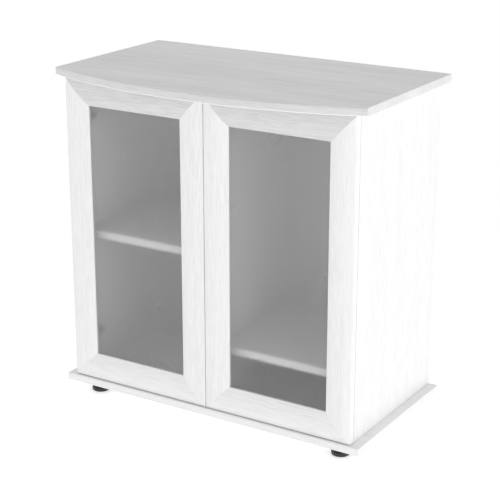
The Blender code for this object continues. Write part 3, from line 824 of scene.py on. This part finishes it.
# --- doors
@dataclass
class Door:
    """One mitred, crowned frame with its pane and glazing beads."""

    word: str
    edge_thickness: float = 0.016
    inner_thickness: float = 0.013
    crown: float = 0.006
    frame_width: float = 0.064
    rebate_width: float = 0.008
    lip: float = 0.003
    outer_arris: float = 0.0011
    opening_arris: float = 0.0022
    hidden_arris: float = 0.0004
    crown_steps: int = 40
    mitre_gap: float = 0.00005     # each member's end from the mitre's plane
    glass_arris: float = 0.0006
    bead_arris: float = 0.0005
    cup_rim_radius: float = 0.0190
    pocket_radius: float = 0.0178
    pocket_steps: int = 64
    strips: tuple = ("bottom_rail", "left_stile", "top_rail", "right_stile")

    def member_profile(self) -> np.ndarray:
        """(inward, thickness) outline of a member.

        The face's thickness at a share t of the width is the straight line
        between the two edges' thicknesses + 4 crown t (1 - t).
        """
        t = np.linspace(0, 1, self.crown_steps + 1)
        straight = self.edge_thickness + (self.inner_thickness - self.edge_thickness) * t
        face = np.stack([self.frame_width * t, straight + 4 * self.crown * t * (1 - t)], axis=1)
        step = self.inner_thickness - self.lip
        wall = self.frame_width - self.rebate_width
        lip_foot = (self.frame_width, step)
        outline = np.vstack([[(0.0, 0.0)], face[[0, -1]], [lip_foot, (wall, step), (wall, 0.0)]])
        rounds = eased(outline, np.array(self.hidden_arris)).reshape(len(outline), -1, 2)
        # The two arrises of the face turn into the crown's own slope, so they are made apart.
        inside = (face[:, 0] > self.outer_arris) & (face[:, 0] < self.frame_width - self.opening_arris)
        first = self.corner((0.0, 0.0), face[0], face[inside][0], self.outer_arris)
        last = self.corner(face[inside][-1], face[-1], lip_foot, self.opening_arris)
        return np.vstack([rounds[0], first, face[inside], last, *rounds[3:]])

    @staticmethod
    def corner(before: tuple, tip: np.ndarray, after: tuple, ease: float) -> np.ndarray:
        """The quadratic curve round one corner, from a point on each of its sides.

        Args:
            before: the point before the corner.
            tip: the corner.
            after: the point after it.
            ease: length cut off each side, at most 0.9 of the side.

        Returns:
            (7, 2) points.
        """
        tip = np.array(tip)
        ends = []
        for side in (np.array(before) - tip, np.array(after) - tip):
            length = np.linalg.norm(side)
            ends.append(tip + side / length * min(ease, length * 0.9))
        start, end = ends
        s = np.linspace(0, 1, 7)[:, None]
        return (1 - s) ** 2 * start + 2 * s * (1 - s) * tip + s ** 2 * end

    def bead_profile(self, depth: float, width: float) -> np.ndarray:
        """(inward, thickness) outline of a bead, with its free corner cut away by half its depth."""
        chamfer = depth / 2
        outline = np.array([(0.0, 0.0), (0.0, depth), (width, depth), (width, chamfer),
                            (width - chamfer, 0.0)])
        return eased(outline, np.array(self.bead_arris))

    def strip(self, profile: np.ndarray, turn: int, low: Vector, high: Vector) -> Shell:
        """A strip with 45 degree ends along one side of a rectangle.

        The point at a share s of the length is e (2s - 1) along the side, where
        e = half the side - inward - the mitre's gap, so each end lies along its mitre.

        Args:
            profile: (inward, thickness) outline.
            turn: quarter turns from the bottom side, clockwise as the doors are faced.
            low: the rectangle's lowest corner.
            high: its highest corner, whose Y is where thickness is 0.

        Returns:
            The strip's shell.
        """
        across, up = high.x - low.x, high.z - low.z
        length = up if turn % 2 else across
        inward, thickness = profile[None, :, 0], profile[None, :, 1]
        end = length / 2 - self.mitre_gap - inward
        along = np.array([-1.0, 1.0])[:, None] * end
        inward = inward - (across if turn % 2 else up) / 2
        angle = turn * math.pi / 2
        x = along * round(math.cos(angle)) + inward * round(math.sin(angle))
        z = inward * round(math.cos(angle)) - along * round(math.sin(angle))
        middle = np.array([(low.x + high.x) / 2, high.y, (low.z + high.z) / 2])
        return Shell.from_grid(np.stack(np.broadcast_arrays(x, -thickness, z), axis=-1) + middle)

    def surround(self, kind: str) -> tuple[Vector, Vector]:
        """Box round four strips of the door.

        Args:
            kind: what their names start with: "" for the members, "bead_" for the beads.

        Returns:
            Its lowest and highest corner.
        """
        boxes = [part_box(f"{self.word}_door_{kind}{strip}") for strip in self.strips]
        low = Vector(min(box[0][i] for box in boxes) for i in range(3))
        high = Vector(max(box[1][i] for box in boxes) for i in range(3))
        return low, high

    def build(self) -> None:
        """Make the members, the pane and the beads."""
        low, high = self.surround("")
        members = self.member_profile()
        for turn, strip in enumerate(self.strips):
            node = f"{self.word}_door_{strip}"
            name = f"{node}_foiled"
            mesh = shell_mesh(name, self.strip(members, turn, low, high))
            if strip == f"{self.word}_stile":
                mesh = cut_out(mesh, self.cup_pockets())
            # The rails take their own tones, which are painted shade. The stiles take the plain foil.
            dress_piece(name, mesh, ASH["stile" if turn % 2 else strip], node)
        node = f"{self.word}_door_pane"
        add_piece(f"{node}_etched", block(*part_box(node), Axis.Y), GLASS, node, ease=self.glass_arris)
        low, high = self.surround("bead_")
        bead = self.bead_profile(high.y - low.y, self.bead_width())
        for turn, strip in enumerate(self.strips):
            node = f"{self.word}_door_bead_{strip}"
            add_piece(f"{node}_extruded", self.strip(bead, turn, low, high), BEAD, node)

    def cup_pockets(self) -> list[Shell]:
        """The round pockets that the hinge cups sit in."""
        pockets = []
        for level in ("lower", "upper"):
            low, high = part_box(f"{self.word}_{level}_hinge_cup")
            outer = low.x if self.word == "left" else high.x
            centre = (outer - SIDES[self.word] * self.cup_rim_radius, low.y - FIT, (low.z + high.z) / 2)
            deep = high.y + FIT - low.y
            profile = np.array([(self.pocket_radius, 0.0), (self.pocket_radius, deep)])
            pockets.append(turned(profile, centre, Axis.Y, self.pocket_steps))
        return pockets

    def bead_width(self) -> float:
        """Width of a bead, read from the bottom one."""
        low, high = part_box(f"{self.word}_door_bead_bottom_rail")
        return high.z - low.z


# --- fittings
@dataclass
class Hinge:
    """A concealed hinge: pressed cup, link, arm and mounting plate, with their screws."""

    word: str
    level: str
    arris: float = 0.00025
    ear_from_edge: float = 0.008   # middle of the ears, from their inner edge
    ear_screw_reach: float = 0.0235    # up and down from the cup's middle
    arm_screws: tuple = (0.030, 0.043)     # behind the arm's front end
    wing_screw_reach: float = 0.0185
    wing_thickness: float = 0.0025
    wing_middle: float = 0.015     # behind the plate's front end

    def screws(self, part: str, centres: list[tuple], axis: Axis, outward: int) -> None:
        """Put screw heads on one part of the hinge.

        Args:
            part: the part, such as "arm".
            centres: the middle of each head's underside.
            axis, outward: as for screw_head.
        """
        node = f"{self.word}_{self.level}_hinge_{part}"
        heads = joined([screw_head(centre, axis, outward) for centre in centres])
        add_piece(f"{node}_screws", heads, NICKEL, node, stands_for=False)

    def build(self) -> None:
        """Finish the four pressings and add the screws."""
        name = f"{self.word}_{self.level}_hinge"
        for part in ("cup", "link", "arm", "plate"):
            eased_copy(f"{name}_{part}_plated", f"{name}_{part}", NICKEL, self.arris)
        inward = -SIDES[self.word]
        low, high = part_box(f"{name}_cup")
        middle = (low.z + high.z) / 2
        ear = (high.x if inward > 0 else low.x) - inward * self.ear_from_edge
        reach = self.ear_screw_reach
        self.screws("cup", [(ear, high.y, middle + up) for up in (-reach, reach)], Axis.Y, 1)
        low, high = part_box(f"{name}_arm")
        face = high.x if inward > 0 else low.x
        self.screws("arm", [(face, low.y + back, middle) for back in self.arm_screws], Axis.X, inward)
        low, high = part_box(f"{name}_plate")
        face = (low.x if inward > 0 else high.x) + inward * self.wing_thickness
        back, reach = low.y + self.wing_middle, self.wing_screw_reach
        self.screws("plate", [(face, back, middle + up) for up in (-reach, reach)], Axis.X, inward)


@dataclass
class Fittings:
    """Latches, strike plates and shelf pins."""

    arris: float = 0.0004
    fixing_back: float = 0.012         # the latch's screw, from its rear end
    fixing_radius: float = 0.0030

    def build(self) -> None:
        """Finish every fitting of both doors."""
        for word, side in SIDES.items():
            for part, finish in (("latch_body", GREY), ("latch_plunger", GREY), ("strike_plate", NICKEL)):
                eased_copy(f"{word}_{part}_finished", f"{word}_{part}", finish, self.arris)
            low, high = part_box(f"{word}_latch_body")
            face = high.x if side > 0 else low.x
            centre = (face, high.y - self.fixing_back, (low.z + high.z) / 2)
            head = screw_head(centre, Axis.X, side, self.fixing_radius)
            add_piece(f"{word}_latch_screw", head, NICKEL, f"{word}_latch_body", stands_for=False)
            for face in ("outer", "inner"):
                for end in ("front", "back"):
                    node = f"{word}_shelf_pin_{face}_{end}"
                    eased_copy(f"{node}_plated", node, NICKEL, self.arris)


# --- feet
@dataclass
class Foot:
    """A moulded foot: a rimmed disc with a waisted side and a rounded sole."""

    node: str
    steps: int = 64
    # (distance inside the rim, height): the sole's round, the lower disc, the waist, the upper disc
    side: tuple = ((0.0040, 0.0), (0.0022, 0.0004), (0.0006, 0.0016),
                   (0.0, 0.0034), (0.0, 0.0085), (0.0006, 0.0100), (0.0022, 0.0108),
                   (0.0050, 0.0120), (0.0062, 0.0150), (0.0062, 0.0205), (0.0050, 0.0230),
                   (0.0012, 0.0240), (0.0, 0.0250))
    top_round: float = 0.0006

    def build(self) -> None:
        """Turn the foot about its own upright axis."""
        low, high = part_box(self.node)
        radius, tall = (high.x - low.x) / 2, high.z - low.z
        side = np.array([*self.side, (0.0, tall - self.top_round), (self.top_round, tall)])
        profile = np.stack([radius - side[:, 0], side[:, 1]], axis=1)
        centre = ((low.x + high.x) / 2, (low.y + high.y) / 2, low.z)
        add_piece(f"{self.node}_moulded", turned(profile, centre, Axis.Z, self.steps), BLACK, self.node)


# --- studio
@dataclass
class Studio:
    """Pale floor, soft lights and the camera."""

    azimuth: float = 31.92         # degrees right of straight ahead of the doors
    elevation: float = 18.48
    distance: float = 3.383
    target: tuple = (0.0198, 0.0, 0.3915)
    lens: float = 103.8            # on a 36 mm sensor
    bright_below: float = 0.15     # sine of the height where the surround starts to dim
    dim_above: float = 0.50        # and of the height above which it stays dim
    overhead: float = 0.66         # brightness overhead, as a share
    floor_half: float = 60.0
    floor_tone: str = "F4F4F4"
    glow_near: tuple = (0.3, 0.41)     # distance from the middle, and the floor's own light up to there
    glow_far: tuple = (1.8, 0.37)      # and from here on
    aim: tuple = (0.0, 0.0, 0.4)       # where the lamps point

    def floor(self) -> None:
        """A plain pale floor."""
        half = self.floor_half
        mesh = bpy.data.meshes.new("studio_floor")
        mesh.from_pydata([(-half, -half, 0), (half, -half, 0), (half, half, 0), (-half, half, 0)], [],
                         [(0, 1, 2, 3)])
        material = bpy.data.materials.new("matt_white_floor")
        material.use_nodes = True
        shader = material.node_tree.nodes["Principled BSDF"]
        shader.inputs["Base Color"].default_value = linear(self.floor_tone)
        shader.inputs["Roughness"].default_value = 0.9
        shader.inputs["Emission Color"].default_value = (1, 1, 1, 1)
        tree = material.node_tree
        reach = add_node(tree, "ShaderNodeVectorMath", {0: object_place(tree)}, operation="LENGTH")
        (near, near_glow), (far, far_glow) = self.glow_near, self.glow_far
        glow = spread(tree, reach.outputs["Value"], near_glow, far_glow, near, far, "SMOOTHSTEP")
        tree.links.new(glow, shader.inputs["Emission Strength"])
        mesh.materials.append(material)
        plane = bpy.data.objects.new("studio_floor", mesh)
        bpy.context.scene.collection.objects.link(plane)

    def light(self, name: str, place: tuple, size: float, power: float) -> None:
        """A square soft light that faces the middle of the cabinet.

        Args:
            name: the light's name.
            place: its middle.
            size: its side, in metres.
            power: in watts.
        """
        lamp = bpy.data.lights.new(name, "AREA")
        lamp.size = size
        lamp.energy = power
        thing = bpy.data.objects.new(name, lamp)
        thing.location = place
        thing.rotation_mode = "QUATERNION"
        thing.rotation_quaternion = (Vector(self.aim) - Vector(place)).to_track_quat("-Z", "Y")
        bpy.context.scene.collection.objects.link(thing)

    def world(self) -> None:
        """A surround that is bright at the height of the cabinet and dimmer overhead."""
        world = bpy.data.worlds.new("studio")
        world.use_nodes = True
        tree = world.node_tree
        coords = add_node(tree, "ShaderNodeTexCoord")
        height = add_node(tree, "ShaderNodeSeparateXYZ", {"Vector": coords.outputs["Generated"]})
        glow = spread(tree, height.outputs["Z"], 1.0, self.overhead,
                      self.bright_below, self.dim_above, "SMOOTHSTEP")
        surround = tree.nodes["Background"]
        tree.links.new(glow, surround.inputs["Strength"])
        surround.inputs["Color"].default_value = (1, 1, 1, 1)
        bpy.context.scene.world = world

    def camera(self) -> None:
        """A camera without roll that looks down a little at the right front corner."""
        turn, tilt = math.radians(self.azimuth), math.radians(self.elevation)
        back = Vector((math.sin(turn) * math.cos(tilt), -math.cos(turn) * math.cos(tilt), math.sin(tilt)))
        data = bpy.data.cameras.new("camera")
        data.lens = self.lens
        data.sensor_width = 36.0
        data.clip_start, data.clip_end = 0.1, 60.0
        thing = bpy.data.objects.new("camera", data)
        thing.location = Vector(self.target) + back * self.distance
        thing.rotation_mode = "QUATERNION"
        thing.rotation_quaternion = (-back).to_track_quat("-Z", "Y")
        bpy.context.scene.collection.objects.link(thing)
        bpy.context.scene.camera = thing

    def build(self) -> None:
        """Set the stage."""
        bpy.context.scene.view_settings.view_transform = "Standard"
        self.floor()
        self.world()
        self.light("key_light", (3.7, -1.1, 0.8), 2.4, 31.0)
        self.light("fill_light", (-2.6, -2.8, 0.7), 2.4, 2.0)
        self.camera()


def main() -> None:
    """Build every piece in order, then the studio."""
    logging.basicConfig(level=logging.INFO, format="%(name)s: %(message)s")
    Carcass().build()
    for word in SIDES:
        Door(word).build()
        for level in ("lower", "upper"):
            Hinge(word, level).build()
    Fittings().build()
    for node in sorted(name for name in frame["nodes"] if name.startswith("foot_")):
        Foot(node).build()
    Studio().build()


if __name__ == "__main__":
    main()
